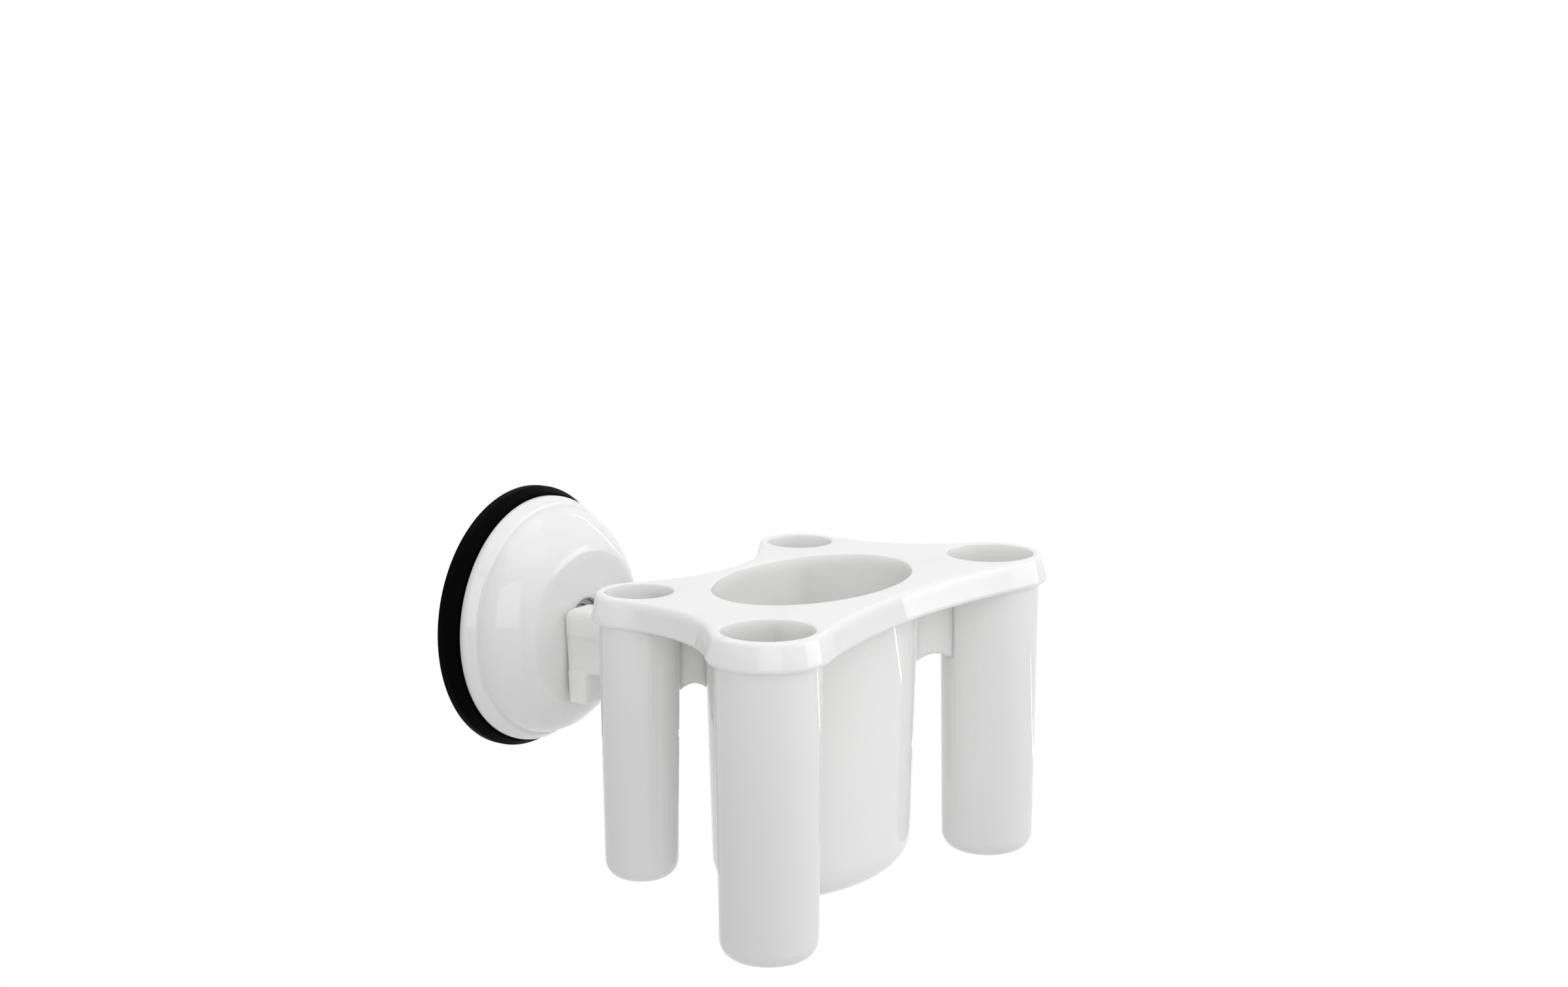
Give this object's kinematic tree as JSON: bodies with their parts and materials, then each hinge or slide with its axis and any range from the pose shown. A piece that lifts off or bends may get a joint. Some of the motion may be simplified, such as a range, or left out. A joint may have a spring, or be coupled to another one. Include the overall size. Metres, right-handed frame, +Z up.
{
  "type": "suction toothbrush holder",
  "caption": "Wall-hung toothbrush holder: a cam-lever suction unit carries a pull-off tray with an oval cup and round tubes for brushes.",
  "frame": {"origin": "centre of the suction pad's sealing lip, in the plane of the wall", "axes": "+Y into the wall along the suction axis, +Z up, +X to the right of someone facing the wall"},
  "size_m": [0.1156, 0.1146, 0.0817],
  "materials": {
    "white_plastic": "glossy white injection-moulded plastic",
    "inner_plastic": "satin light grey moulded plastic",
    "black_rubber": "smooth black rubber",
    "steel": "drawn steel wire and pin"
  },
  "bodies": {
    "pad": {"suction_pad": "black_rubber", "stem": "inner_plastic", "lever_pin": "steel", "return_spring": "steel"},
    "housing": {"suction_housing": "white_plastic"},
    "lever": {"cam_lever": "white_plastic"},
    "tray": {"tray_deck": "white_plastic", "paste_cup": "white_plastic", "hanger_arm": "white_plastic", "brush_tube_front_left": "white_plastic", "brush_tube_front_right": "white_plastic", "brush_tube_back_right": "white_plastic", "brush_tube_back_left": "white_plastic", "web_front_left": "white_plastic", "web_front_right": "white_plastic", "web_back_right": "white_plastic", "web_back_left": "white_plastic"}
  },
  "joints": [
    {"name": "lever_flip", "type": "hinge", "parent": "pad", "child": "lever", "pos_m": [0, -0.0278, 0], "axis": [1, 0, 0], "range_deg": [-90, 0]},
    {"name": "housing_slide", "type": "slide", "parent": "pad", "child": "housing", "axis": [0, -1, 0], "range_m": [0, 0.00221], "deforming": ["return_spring"]},
    {"name": "tray_pull", "type": "slide", "parent": "lever", "child": "tray", "axis": [0, -1, 0], "range_m": [0, 0.016]}
  ],
  "couplings": [
    {"joint": "housing_slide", "follows": "lever_flip", "m_per_rad": -0.0014}
  ]
}
